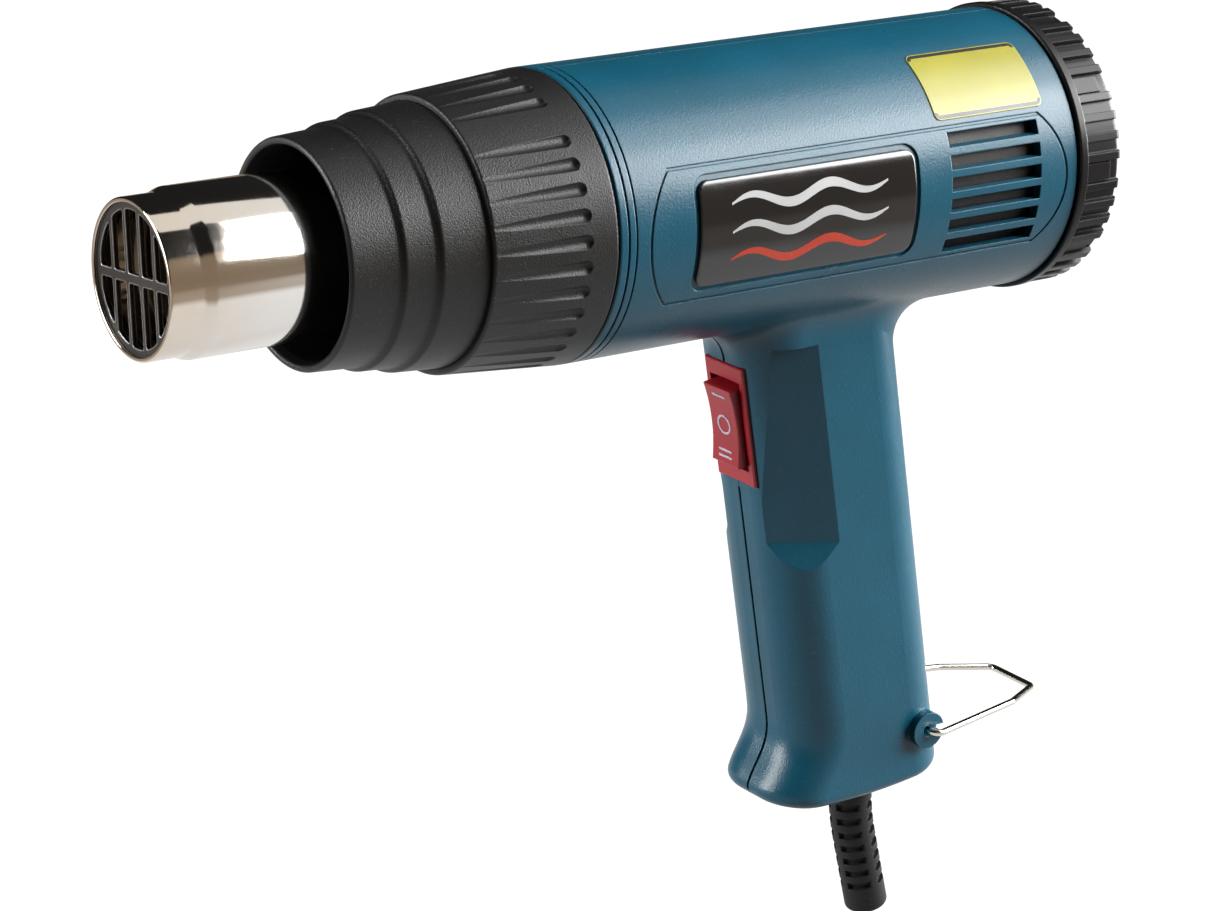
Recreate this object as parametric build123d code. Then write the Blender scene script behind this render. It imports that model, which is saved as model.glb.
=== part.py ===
from build123d import *
import math
import os

# Heat gun. Millimetres. The barrel lies along X with the nozzle's mouth at the origin, facing -X.
# Z is up and the handle hangs down. Y is across: -Y is the left side as the user holds the gun.

# ---- Driving dimensions ----
MOUTH_R = 17.5            # outside of the nozzle's mouth, the common 35 mm nozzle size
TUBE_R = 18.5             # outside of the nozzle tube behind its step
TUBE_WALL = 0.8
TUBE_END = 106.0

GUARD_FRONT = 38.4
COLLAR_FRONT = 70.5
COLLAR_END = 101.2
FLUTES = 36
BAYONET_STUDS = 3
BAYONET_TURN = 30.0       # degrees that the guard turns to unlock
STUD_X = 97.0
STUD_R = 1.25

NECK_R = 29.4             # neck of the housing inside the grip collar
NECK_FRONT = 92.0
BARREL_FRONT = 101.5
BARREL_END = 232.6
BARREL_R = 33.5
WALL = 2.5
SEAM_GAP = 0.2            # gap between the two shells at the seam

SLOTS = 6
SLOT_PITCH = 5.0
SLOT_HEIGHT = 3.3
SLOT_FRONT = 194.5
SLOT_REAR = 221.4

LEAN = 10.0               # the handle leans back by this many degrees
HANDLE_HALF_WIDTH = 16.0
HANDLE_FRONT_TOP = (156.3, -45.0)
HANDLE_DEPTH = 44.2       # front to back
HANDLE_CORNER = 12.0      # radius of the grip's corners
HANDLE_BOTTOM = -155.6
ROOT_FILLET = 10.0

SWITCH_CENTRE = (158.6, -57.4)
SWITCH_LENGTH = 30.4
SWITCH_WIDTH = 14.6
SWITCH_BOX = (27.4, 12.5)
ROCKER_LENGTH = 19.8
ROCKER_WIDTH = 10.4
ROCKER_PIVOT_DEPTH = 3.0  # below the handle's front surface

EYE_CENTRE = (208.5, -140.3)
EYE_FACE = 18.3
EYE_R = 4.6
EYE_HOLE_R = 1.65
BAIL_R = 0.85
BAIL_DROOP = 5.6          # degrees below level at rest
BAIL_HALF_WIDTH = 21.4

CAP_R = 34.2
CAP_END = 246.4
SLEEVE_R = 30.5
SLEEVE_WALL = 1.5
SHUTTER_TURN = 60.0       # degrees from closed vents to open ones
CLEARANCE = 0.3

RELIEF_R = 5.4
CORD_R = 3.6
RELIEF_TOP = (199.3, -146.0)
RELIEF_BEND_START = -158.0
RELIEF_BEND_R = 60.0
RELIEF_LEAN = 14.0
RELIEF_TAIL = 21.0
RELIEF_FLANGE_R = 8.0
RELIEF_FLANGE_Z = -150.4

MOTOR_FRONT = 176.0
MOTOR_END = 221.0
MOTOR_R = 17.8
SHAFT_R = 1.6
FAN_FRONT = 153.0
FAN_R = 27.6

SCREW_SHANK_R = 1.25
SCREW_HEAD_R = 2.8
SCREWS = [                # shell screws: (x, z, seat height above the seam)
    (114.0, 25.0, 6.0),
    (114.0, -25.0, 6.0),
    (182.5, 26.0, 6.0),
    (182.5, -26.0, 6.0),
    (199.5, -82.0, 5.0),
    (205.5, -126.0, 5.0),
    (176.5, -146.5, 5.0),
]


# ---- Shape helpers ----
def rod_x(x0, x1, r, y=0.0, z=0.0):
    """Cylinder along X."""
    return Pos((x0 + x1) / 2, y, z) * Rot(0, 90, 0) * Cylinder(r, abs(x1 - x0))


def rod_y(y0, y1, r, x, z):
    """Cylinder along Y."""
    return Pos(x, (y0 + y1) / 2, z) * Rot(90, 0, 0) * Cylinder(r, abs(y1 - y0))


def block(x0, x1, y0, y1, z0, z1):
    """Box between two corners."""
    middle = Pos((x0 + x1) / 2, (y0 + y1) / 2, (z0 + z1) / 2)
    return middle * Box(abs(x1 - x0), abs(y1 - y0), abs(z1 - z0))


def tube_x(x0, x1, r_out, r_in):
    return rod_x(x0, x1, r_out) - rod_x(x0 - 1, x1 + 1, r_in)


def turned(points, rounds=()):
    """Solid turned about X from (x, radius) points; rounds are (point number, fillet radius)."""
    face = make_face(Polyline(*[(x, 0, r) for x, r in points], close=True))
    for index, radius in rounds:
        x, r = points[index]
        corner = face.vertices().sort_by_distance((x, 0, r))[0]
        face = fillet(corner, radius)
    return revolve(face, Axis.X)


def around_x(shape, count, first=0.0, step=None):
    """Copies of a shape about X, evenly spaced unless a step is given."""
    step = 360.0 / count if step is None else step
    return [Rot(first + i * step, 0, 0) * shape for i in range(count)]


def side_outline(points, rounds=()):
    """Flat face in the XZ plane from (x, z) points."""
    face = make_face(Polyline(*[(x, 0, z) for x, z in points], close=True))
    for index, radius in rounds:
        x, z = points[index]
        corner = face.vertices().sort_by_distance((x, 0, z))[0]
        face = fillet(corner, radius)
    return face


def screw(length, shank_r, head_r, head_h):
    """Pan-head screw along -Z, with the head's underside at the origin and a cross recess."""
    head = Pos(0, 0, head_h / 2) * Cylinder(head_r, head_h)
    head = fillet(head.edges().group_by(Axis.Z)[-1], head_h * 0.4)
    for angle in (0, 90):
        head -= Pos(0, 0, head_h) * Rot(0, 0, angle) * Box(head_r * 1.2, head_r * 0.3, head_h)
    shank = Pos(0, 0, -length / 2) * Cylinder(shank_r, length)
    return head + chamfer(shank.edges().group_by(Axis.Z)[0], shank_r * 0.6)


def handle_front(z):
    """x of the handle's front surface at height z."""
    x0, z0 = HANDLE_FRONT_TOP
    return x0 + math.tan(math.radians(LEAN)) * (z0 - z)


def handle_rear(z):
    return handle_front(z) + HANDLE_DEPTH


# ---- Hot end ----
def nozzle_tube():
    r, w = MOUTH_R, TUBE_WALL
    step = TUBE_R - MOUTH_R
    outer = [(0.0, r - 1.3), (0.0, r), (8.0, r), (10.4, r + step), (TUBE_END, r + step)]
    inner = [(TUBE_END, r + step - w), (11.0, r + step - w), (8.4, r - w), (0.8, r - w)]
    return turned(outer + inner, [(1, 0.5), (2, 2.4), (3, 1.6)])


def nozzle_grille():
    """Pressed disc with two rows of five openings, turned a little in the mouth."""
    disc_r, rim_r, bar_pitch, bar_w, middle_w = 16.15, 14.9, 6.0, 1.15, 2.1
    face, turn = 0.85, -5
    disc = rod_x(face, face + 1.2, disc_r) + tube_x(face, face + 3.65, disc_r + 0.4, disc_r - 0.5)
    cuts = []
    for column in range(-2, 3):
        for side in (1, -1):
            cell = Pos(1.0, column * bar_pitch, side * (middle_w / 2 + 10)) * Box(4, bar_pitch - bar_w, 20)
            cell = cell & rod_x(-2, 4, rim_r)
            cell = fillet(cell.edges().filter_by(Axis.X), 0.6)
            cuts.append(cell)
    return Rot(turn, 0, 0) * (disc - cuts)


def mica_tube():
    return tube_x(14.0, 98.0, 16.9, 16.3)


HEATER_FRONT, HEATER_END = 20.0, 96.0
CROSS_R = 11.4


def heater_core():
    """Crossed mica plates between two spoked end discs."""
    core = None
    for angle in (0, 60, 120):
        plate = Rot(angle, 0, 0) * block(HEATER_FRONT, HEATER_END, -CROSS_R, CROSS_R, -0.5, 0.5)
        core = plate if core is None else core + plate
    holes = around_x(rod_x(HEATER_FRONT - 2, HEATER_END + 2, 3.6, 0, 9.6), 6, 30)
    for x in (HEATER_FRONT, HEATER_END - 1.6):
        core += rod_x(x, x + 1.6, 16.0) - holes
    return core


def heating_coil():
    """One long coil of resistance wire wound round the crossed plates."""
    wire_r, turns = 0.7, 11
    first, last = HEATER_FRONT + 6, HEATER_END - 6
    pitch = (last - first) / turns
    helix = Helix(pitch=pitch, height=last - first, radius=CROSS_R + wire_r + 0.1)
    profile = Plane(origin=helix @ 0, z_dir=helix % 0) * Circle(wire_r)
    coil = sweep(profile, path=helix, is_frenet=True)
    return Pos(first, 0, 0) * Rot(0, 90, 0) * coil


def heater_terminals():
    """Two flat tabs that stand on the rear end disc."""
    return Compound([block(HEATER_END, 108.0, y - 1.6, y + 1.6, -0.4, 0.4) for y in (-5.0, 5.0)])


def thermal_fuse():
    """Small metal can with two leads, in the air stream beside the core."""
    body = rod_x(99.0, 105.0, 1.6, 0, 8.0)
    lead = rod_x(97.6, 108.0, 0.4, 0, 8.0)
    return body + lead


FLANGE_SCREW_R = 25.2


def nozzle_flange():
    plate = tube_x(104.0, 105.2, 29.0, TUBE_R + 0.05) + tube_x(105.2, 107.5, TUBE_R + 1.2, TUBE_R + 0.05)
    return plate - around_x(rod_x(100, 108, 1.9, 0, FLANGE_SCREW_R), 4, 45)


def flange_screws():
    one = Pos(105.2, 0, FLANGE_SCREW_R) * Rot(0, 90, 0) * screw(6.5, 1.5, 2.8, 1.8)
    return Compound(around_x(one, 4, 45))


# ---- Guard ----
def guard_cone():
    outer = [
        (GUARD_FRONT, 23.9), (GUARD_FRONT, 25.5), (50.0, 26.2), (51.0, 27.2), (58.3, 27.6),
        (59.3, 28.7), (71.0, 29.5), (78.0, 29.5),
    ]
    inner = [(78.0, 27.6), (59.5, 26.2), (50.0, 24.6), (41.0, 23.5)]
    shoulder, valley = 0.8, 1.2
    rounds = [(0, 0.7), (1, 0.75), (2, valley), (3, shoulder), (4, valley), (5, shoulder)]
    return turned(outer + inner, rounds)


def collar_radius(x):
    """Outside of the grip collar, which widens towards the housing."""
    return 31.0 + (BARREL_R - 31.0) * (x - COLLAR_FRONT) / (COLLAR_END - COLLAR_FRONT)


def grip_collar():
    front, end = COLLAR_FRONT, COLLAR_END
    outer = [(front, 29.55), (front, collar_radius(front)), (end, collar_radius(end))]
    bore = NECK_R + 0.4
    inner = [(end, bore), (90.0, bore), (88.0, 29.55)]
    body = turned(outer + inner, [(1, 0.7), (2, 0.6)])

    flute_r, depth = 2.0, 0.85
    start, stop = front + 0.3, 93.0
    low = collar_radius(stop) + flute_r - depth
    high = collar_radius(start) + flute_r - 0.05
    line = Line((start, 0, high), (stop, 0, low))
    flute = Solid.extrude(Face(Wire([Edge.make_circle(flute_r, Plane(origin=line @ 0, z_dir=line % 0))])),
                          (line @ 1) - (line @ 0))
    flute = flute + Pos(*(line @ 1)) * Sphere(flute_r)
    body = body - around_x(flute, FLUTES, 5)

    room, groove_r = STUD_R + 0.35, 31.0
    ring = tube_x(STUD_X - room, STUD_X + room, groove_r, NECK_R)
    for i in range(BAYONET_STUDS):
        first = i * 360 / BAYONET_STUDS
        body -= ring & (Rot(first - 4, 0, 0) * wedge(BAYONET_TURN + 8))
        body -= Rot(first + BAYONET_TURN, 0, 0) * block(STUD_X, end + 1, -room, room, NECK_R, groove_r)
    return body


def wedge(angle):
    """Slice of space between the directions 0 and angle about X, counted from +Z towards -Y."""
    reach = 60.0
    points = [(0, 0, 0)]
    steps = 4
    for i in range(steps + 1):
        a = math.radians(angle * i / steps)
        points.append((0, -reach * math.sin(a), reach * math.cos(a)))
    return Pos(-10, 0, 0) * extrude(make_face(Polyline(*points, close=True)), 300, dir=(1, 0, 0))


# ---- Housing ----
def barrel_outside():
    points = [
        (NECK_FRONT, 0.0), (NECK_FRONT, NECK_R), (BARREL_FRONT, NECK_R), (BARREL_FRONT, BARREL_R),
        (103.5, BARREL_R), (103.5, BARREL_R - 0.6), (104.1, BARREL_R - 0.6), (104.1, BARREL_R),
        (105.6, BARREL_R), (105.6, BARREL_R - 0.5), (106.1, BARREL_R - 0.5), (106.1, BARREL_R),
        (BARREL_END, BARREL_R), (BARREL_END, 0.0),
    ]
    return turned(points, [(3, 0.5), (12, 0.5)])


def barrel_inside():
    rib_x, rib_r = 228.2, SLEEVE_R - 0.4
    bore = BARREL_R - WALL
    points = [
        (NECK_FRONT - 1, 0.0), (NECK_FRONT - 1, 27.0), (97.0, 27.0), (97.0, 21.0), (103.9, 21.0),
        (103.9, bore), (rib_x - 0.6, bore), (rib_x - 0.6, rib_r), (rib_x + 0.6, rib_r),
        (rib_x + 0.6, bore), (BARREL_END + 1, bore), (BARREL_END + 1, 0.0),
    ]
    return turned(points)


def handle_section(z, inset=0.0, toe=0.0):
    """Rounded rectangle across the handle at height z; toe moves its front edge forward."""
    x0, x1 = handle_front(z) - toe + inset, handle_rear(z) - inset
    width = 2 * (HANDLE_HALF_WIDTH - inset)
    shape = RectangleRounded(x1 - x0, width, HANDLE_CORNER - inset)
    return Pos((x0 + x1) / 2, 0, z) * shape


def handle_solid(inset=0.0):
    """Leaning handle: a straight grip, then a toe that flares forward at the bottom."""
    straight = loft([handle_section(-22.0, inset), handle_section(-132.0, inset)], ruled=True)
    flare = [(-132.0, 0.0), (-138.0, 0.35), (-144.0, 3.0), (-150.0, 7.2), (-156.5, 9.6), (-164.0, 10.0)]
    foot = loft([handle_section(z, inset, toe) for z, toe in flare])
    return straight + foot


def handle_bottom(inset=0.0):
    """Everything above the handle's gently bowed underside."""
    low = HANDLE_BOTTOM + inset
    arc = ThreePointArc((150, 0, low + 3.6), (185, 0, low), (225, 0, low + 4.6))
    sides = Polyline(arc @ 1, (225, 0, 0), (150, 0, 0), arc @ 0)
    face = make_face(Curve() + [arc, sides])
    return Pos(0, 30, 0) * extrude(face, 60, dir=(0, -1, 0))


def handle_outside():
    body = handle_solid() & handle_bottom()
    rim = body.edges().filter_by(lambda e: e.center().Z < -149).filter_by(lambda e: e.length > 1)
    return fillet(rim, 3.0)


THUMB_END = -86.5
THUMB_TOP = -37.0
RAMP_TILT = 30


def thumb_facets(inset=0.0):
    """Cutters for the flats beside the switch, each closed below by a half-round ramp."""
    cutters = []
    lean = math.radians(LEAN)
    down = Vector(math.sin(lean), 0, -math.cos(lean))
    for side in (-1, 1):
        front = Vector(handle_front(THUMB_END) + 0.5, side * 7.7, THUMB_END)
        back = Vector(handle_front(THUMB_END) + 16.5, side * 16.2, THUMB_END)
        across = (back - front).normalized()
        normal = across.cross(down).normalized()
        if normal.Y * side < 0:
            normal = -normal
        width = (back - front).length + inset
        middle = (front + back) * 0.5 - normal * inset
        height = (THUMB_TOP - THUMB_END) / math.cos(lean)
        flat = Plane(origin=middle, x_dir=across, z_dir=normal)
        up_sign = 1 if flat.y_dir.Z > 0 else -1
        cutters.append(flat * Pos(0, up_sign * height / 2, 5) * Box(width + 3, height, 10))
        ramp = flat * Rot(-up_sign * RAMP_TILT, 0, 0) * Pos(0, 0, 5) * Cylinder(width / 2, 10)
        below = flat * Pos(0, -up_sign * 15, 0) * Box(40, 30, 40)
        cutters.append(ramp & below)
    return cutters


def switch_plane():
    """Plane on the handle's front at the switch: local X down the handle, local Z outwards."""
    lean = math.radians(LEAN)
    x, z = SWITCH_CENTRE
    return Plane(origin=(x, 0, z), x_dir=(math.sin(lean), 0, -math.cos(lean)),
                 z_dir=(-math.cos(lean), 0, -math.sin(lean)))


def panel_outline(inset=0.0):
    """Long rounded outline that frames the badge and the vents on each side."""
    half = 15.6 - inset
    front, rear = 109.3 + inset, 229.6 - inset
    first, last = 116.0, 222.5
    top = Line((first, 0, half), (last, 0, half))
    back = ThreePointArc((last, 0, half), (rear, 0, 0), (last, 0, -half))
    base = Line((last, 0, -half), (first, 0, -half))
    nose = ThreePointArc((first, 0, -half), (front, 0, 0), (first, 0, half))
    return make_face(Curve() + [top, back, base, nose])


def through_sides(face, depth):
    """Cutter that follows the barrel: a flat outline run across the gun, kept outside a radius."""
    reach = 36.0
    bar = Pos(0, reach, 0) * extrude(face, 2 * reach, dir=(0, -1, 0))
    return bar - rod_x(90, 240, BARREL_R - depth)


BADGE_X = (123.0, 183.8)
BADGE_HALF = 12.0


def badge_outline(grow=0.0):
    x0, x1 = BADGE_X[0] - grow, BADGE_X[1] + grow
    half = BADGE_HALF + grow
    points = [(x0, -half), (x1, -half), (x1, half), (x0, half)]
    return side_outline(points, [(i, 2.6 + grow) for i in range(4)])


def slot_cutters():
    cutters = []
    for i in range(SLOTS):
        z = (i - (SLOTS - 1) / 2) * SLOT_PITCH
        cutters.append(block(SLOT_FRONT, SLOT_REAR, -40, 40, z - SLOT_HEIGHT / 2, z + SLOT_HEIGHT / 2))
    return cutters


def relief_path():
    x, z = RELIEF_TOP
    drop = Line((x, 0, z), (x, 0, RELIEF_BEND_START))
    lean = math.radians(RELIEF_LEAN)

    def on_bend(angle):
        along, down = RELIEF_BEND_R * (1 - math.cos(angle)), RELIEF_BEND_R * math.sin(angle)
        return Vector(x + along, 0, RELIEF_BEND_START - down)

    end = on_bend(lean)
    bend = ThreePointArc(drop @ 1, on_bend(lean / 2), end)
    tail = Line(end, end + Vector(math.sin(lean), 0, -math.cos(lean)) * RELIEF_TAIL)
    return Wire([drop, bend, tail])


def housing_outside():
    """Outside of both shells together, with its surface details."""
    handle = handle_outside() - thumb_facets()
    body = barrel_outside() + handle
    root = [e for e in body.edges()
            if abs(math.hypot(e.center().Y, e.center().Z) - BARREL_R) < 0.6
            and 140 < e.center().X < 215 and e.center().Z < -20]
    body = fillet(root, ROOT_FILLET)
    groove_width, groove_depth, pocket_depth = 0.7, 0.35, 0.6
    body -= through_sides(panel_outline() - panel_outline(groove_width), groove_depth)
    body -= through_sides(badge_outline(1.3), pocket_depth)
    for side in (-1, 1):
        x, z = EYE_CENTRE
        body += rod_y(side * 10, side * EYE_FACE, EYE_R, x, z)
    body -= switch_plane() * Pos(0, 0, 4.4) * Box(SWITCH_LENGTH + 0.4, SWITCH_WIDTH + 0.4, 10)
    seam_groove = handle_outside() - Pos(1.1, 0, 0.2) * handle_outside()
    below_switch = block(140, 178, -0.4, 0.4, -153, -74)
    above_switch = body & block(147, 166, -0.4, 0.4, -46, -33.6)
    body -= above_switch - Pos(0.9, 0, 0.7) * above_switch
    return body - (seam_groove & below_switch)


def housing_cavity():
    throat = block(140, 240, -30, 30, -160, -28)
    grip = handle_solid(WALL) & handle_bottom(WALL + 0.5) & throat
    return barrel_inside() + (grip - thumb_facets(WALL - 0.5))


def screw_post(x, z, side, outside):
    """Solid post from the seam to the wall; the right one holds the screw's head."""
    radius = 4.7 if side > 0 else 3.4
    return rod_y(0, side * 40, radius, x, z) & outside


def housing_half(side):
    """One shell: side is -1 for the left one and 1 for the right one."""
    outside = housing_outside()
    shell = outside - housing_cavity()
    for x, z, _ in SCREWS:
        shell += screw_post(x, z, side, outside)
    shell -= slot_cutters()
    for x, z, seat in SCREWS:
        if side > 0:
            shell -= rod_y(-1, 40, SCREW_SHANK_R + 0.45, x, z)
            shell -= rod_y(seat, 40, SCREW_HEAD_R + 0.4, x, z)
        else:
            shell -= rod_y(-10, 1, SCREW_SHANK_R, x, z)
    eye_x, eye_z = EYE_CENTRE
    shell -= rod_y(side * 11.4, side * 20, EYE_HOLE_R, eye_x, eye_z)
    shell -= block(eye_x, eye_x + 6, side * 15.6, side * 20, eye_z - 1.1, eye_z + 1.1)
    shell -= switch_plane() * Pos(0, 0, -4) * Box(SWITCH_BOX[0] + 0.4, SWITCH_BOX[1] + 0.4, 12)
    relief_x = RELIEF_TOP[0]
    shell -= Pos(relief_x, 0, -155) * Cylinder(RELIEF_R + 0.15, 16)
    shell -= Pos(relief_x, 0, RELIEF_FLANGE_Z) * Cylinder(RELIEF_FLANGE_R + 0.2, 2.6)
    shell -= around_x(rod_x(95, 105, 1.5, 0, FLANGE_SCREW_R), 4, 45)
    stud = Pos(STUD_X, 0, NECK_R + 0.1) * Cylinder(STUD_R, 1.8)
    for one in around_x(stud, BAYONET_STUDS):
        shell += one
    return shell & block(80, 260, side * SEAM_GAP / 2, side * 60, -200, 60)


def housing_screws():
    screws = []
    for x, z, seat in SCREWS:
        one = screw(seat + 8.0, SCREW_SHANK_R, SCREW_HEAD_R, 1.9)
        screws.append(Pos(x, seat, z) * Rot(-90, 0, 0) * one)
    return Compound(screws)


def badge(side):
    """Blank domed plate that follows the barrel."""
    lens = through_sides(badge_outline(), 0.55) & rod_x(100, 200, BARREL_R + 0.35)
    lens = lens & block(100, 200, 0, side * 60, -30, 30)
    top = lens.faces().sort_by(lambda f: side * f.center().Y)[-1]
    return fillet(top.edges(), 0.4)


LABEL_X = (192.3, 224.4)
LABEL_ANGLE = 45.5
LABEL_HALF = 9.0


def caution_label():
    """Blank sticker above the vents on the left side."""
    x0, x1 = LABEL_X
    points = [(x0, -LABEL_HALF), (x1, -LABEL_HALF), (x1, LABEL_HALF), (x0, LABEL_HALF)]
    face = side_outline(points, [(i, 1.6) for i in range(4)])
    plate = extrude(face, 40, dir=(0, -1, 0))
    plate = plate & tube_x(180, 235, BARREL_R + 0.22, BARREL_R)
    return Rot(-LABEL_ANGLE, 0, 0) * plate


# ---- Air control ----
RIB_GROUPS = 10
RIB_STEP = 8
FIRST_RIB = 24            # degrees from +Z towards -Y


def air_control_cap():
    """Knurled end cover: a thin flange, then ten groups of four ribs with pads between them."""
    front = BARREL_END + CLEARANCE
    flange_end, body_r = 235.2, CAP_R - 1.5
    outer = [
        (front, SLEEVE_R + 0.05), (front, CAP_R + 0.3), (flange_end, CAP_R + 0.3),
        (flange_end + 0.5, body_r), (CAP_END, body_r), (CAP_END, 25.0), (CAP_END - 1.4, 23.6),
        (CAP_END - 1.4, 0.0),
    ]
    inner = [(CAP_END - 3.4, 0.0), (CAP_END - 3.4, 28.6), (236.2, 28.6), (236.2, SLEEVE_R + 0.05)]
    body = turned(outer + inner, [(1, 0.5), (2, 0.4), (4, 1.2), (5, 0.6)])
    rib_profile = side_outline(
        [(flange_end - 0.6, 31.0), (flange_end - 0.6, CAP_R), (CAP_END - 0.5, CAP_R), (CAP_END - 0.5, 31.0)],
        [(2, 1.4)])
    rib = Pos(0, 0.95, 0) * extrude(rib_profile, 1.9, dir=(0, -1, 0))
    pad_profile = side_outline([(flange_end - 0.6, 31.0), (flange_end - 0.6, body_r + 0.55),
                                (CAP_END - 3.0, body_r + 0.55), (CAP_END - 3.0, 31.0)], [(2, 0.5)])
    pad = Pos(0, 2.0, 0) * extrude(pad_profile, 4.0, dir=(0, -1, 0))
    ribs = []
    for group in range(RIB_GROUPS):
        first = FIRST_RIB + group * 360 / RIB_GROUPS
        ribs += around_x(rib, 4, first, RIB_STEP)
        ribs += around_x(pad, 1, first + 30)
    body = body + ribs
    body -= around_x(rod_x(238, 250, 1.7, 0, SHUTTER_SCREW_R), 3, 60)
    return body - around_x(rod_x(SHUTTER_SCREW_SEAT, 250, 2.7, 0, SHUTTER_SCREW_R), 3, 60)


SHUTTER_SCREW_R = 26.6
SHUTTER_SCREW_SEAT = CAP_END - 1.6


def shutter_sleeve():
    """Sleeve behind the vents. Its two windows come behind them when the cap is turned to its stop."""
    front, end = 190.0, 236.1
    points = [(front, SLEEVE_R - SLEEVE_WALL), (front, SLEEVE_R), (227.2, SLEEVE_R), (227.2, SLEEVE_R - 0.8),
              (229.2, SLEEVE_R - 0.8), (229.2, SLEEVE_R), (end, SLEEVE_R), (end, SLEEVE_R - SLEEVE_WALL)]
    sleeve = turned(points)
    for middle in (90, 270):
        window = Rot(middle - SHUTTER_TURN - 31, 0, 0) * wedge(62)
        sleeve -= window & rod_x(193.0, 223.0, 33)
    lugs = around_x(rod_x(229.5, CAP_END - 3.4, 3.0, 0, SHUTTER_SCREW_R), 3, 60)
    lugs = [lug & rod_x(220, 250, SLEEVE_R - 0.2) for lug in lugs]
    lugs = [lug - rod_x(235.9, 250, 40) + (lug & rod_x(235.8, CAP_END - 3.4, 28.5)) for lug in lugs]
    sleeve = sleeve + lugs
    return sleeve - around_x(rod_x(232, 250, 1.25, 0, SHUTTER_SCREW_R), 3, 60)


def shutter_screws():
    one = Pos(SHUTTER_SCREW_SEAT, 0, SHUTTER_SCREW_R) * Rot(0, 90, 0) * screw(11.0, 1.25, 2.4, 1.2)
    return Compound(around_x(one, 3, 60))


# ---- Motor and fan ----
def air_funnel():
    """Duct from the fan housing down to the heater."""
    wall = 1.4
    outer = [(107.8, 20.2), (120.0, 20.2), (149.0, 30.2), (171.0, 30.2)]
    inner = [(171.0, 30.2 - wall), (149.4, 30.2 - wall), (120.4, 20.2 - wall), (107.8, 20.2 - wall)]
    return turned(outer + inner)


def motor_bracket():
    """Spoked plate behind the fan that carries the motor."""
    ring = tube_x(171.0, 174.5, 30.6, 28.4) + tube_x(173.0, 176.0, MOTOR_R + 1.4, 7.0)
    ring = ring + around_x(block(173.0, 175.0, -2.0, 2.0, 15.0, 29.5), 6, 30)
    return ring - around_x(rod_x(170, 180, 1.35, 0, 12.0), 2, 0)


def bracket_screws():
    one = Pos(173.0, 0, 12.0) * Rot(0, -90, 0) * screw(5.5, 1.3, 2.5, 1.5)
    return Compound(around_x(one, 2, 0))


def motor_can():
    """Steel can, closed at the front and open at the rear."""
    points = [(MOTOR_FRONT, 3.05), (MOTOR_FRONT, MOTOR_R), (MOTOR_END, MOTOR_R), (MOTOR_END, MOTOR_R - 1.2),
              (MOTOR_FRONT + 1.2, MOTOR_R - 1.2), (MOTOR_FRONT + 1.2, 3.05)]
    can = turned(points, [(1, 1.0)])
    can -= around_x(rod_x(MOTOR_FRONT - 1, MOTOR_FRONT + 3, 1.35, 0, 12.0), 2, 0)
    return can - around_x(block(205, 215, -3, 3, 10, 20), 2, 90)


def motor_magnets():
    """Two arc magnets inside the can."""
    ring = tube_x(182.0, 206.0, MOTOR_R - 1.25, 13.4)
    return Compound([ring & (Rot(25 + a, 0, 0) * wedge(130)) for a in (0, 180)])


def motor_end_cap():
    points = [(MOTOR_END - 4.0, 3.05), (MOTOR_END - 4.0, MOTOR_R - 1.25), (MOTOR_END + 1.5, MOTOR_R - 1.25),
              (MOTOR_END + 1.5, 3.05)]
    cap = turned(points)
    return cap - around_x(rod_x(210, 230, 2.4, 0, 10.0), 2, 0)


def bearing(x0, x1):
    return tube_x(x0, x1, 3.0, SHAFT_R + 0.05)


def brush_holders():
    """Carbon brushes in brass sleeves, either side of the commutator."""
    pieces = []
    for angle in (90, 270):
        brush = block(209.6, 214.4, -1.6, 1.6, 5.35, 9.5)
        sleeve = block(208.8, 215.2, -2.4, 2.4, 7.5, 13.2) - block(209.6, 214.4, -1.6, 1.6, 7.0, 9.5)
        pieces.append(Rot(angle, 0, 0) * (brush + sleeve))
    return Compound(pieces)


def motor_shaft():
    shaft = rod_x(150.5, MOTOR_END + 4.5, SHAFT_R)
    return chamfer(shaft.edges(), 0.3)


def armature():
    """Slotted laminations with the windings bulging at both ends."""
    core = rod_x(183.0, 205.0, 12.6) - around_x(block(180, 208, -0.9, 0.9, 7.5, 14), 5, 36)
    windings = rod_x(181.0, 207.0, 10.6) - around_x(block(179, 208, -0.5, 0.5, 7.5, 14), 5, 36)
    return core + windings - rod_x(170, 215, SHAFT_R + 0.01)


def commutator():
    ring = tube_x(208.5, 215.5, 5.0, SHAFT_R + 0.01)
    return ring - around_x(block(208, 216, -0.15, 0.15, 4.2, 6), 5, 0)


def fan_impeller():
    """Axial fan with nine pitched blades on a rounded hub."""
    x0, x1 = FAN_FRONT, FAN_FRONT + 14.0
    bore = SHAFT_R + 0.01
    hub = turned([(x0, bore), (x0, 6.0), (x0 + 5, 9.0), (x1, 9.5), (x1, bore)], [(1, 2.0)])
    blade = Pos((x0 + x1) / 2, 0, 17.5) * Rot(0, 0, 38) * Box(16.5, 1.3, 21.0)
    blade = blade & tube_x(x0 + 0.5, x1 - 0.3, FAN_R, 8.0)
    return hub + around_x(blade, 9)


# ---- Switch ----
FRAME_FRONT = 0.6         # the frame's face stands proud of the handle by this much
SWITCH_DEPTH = 17.0


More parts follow.
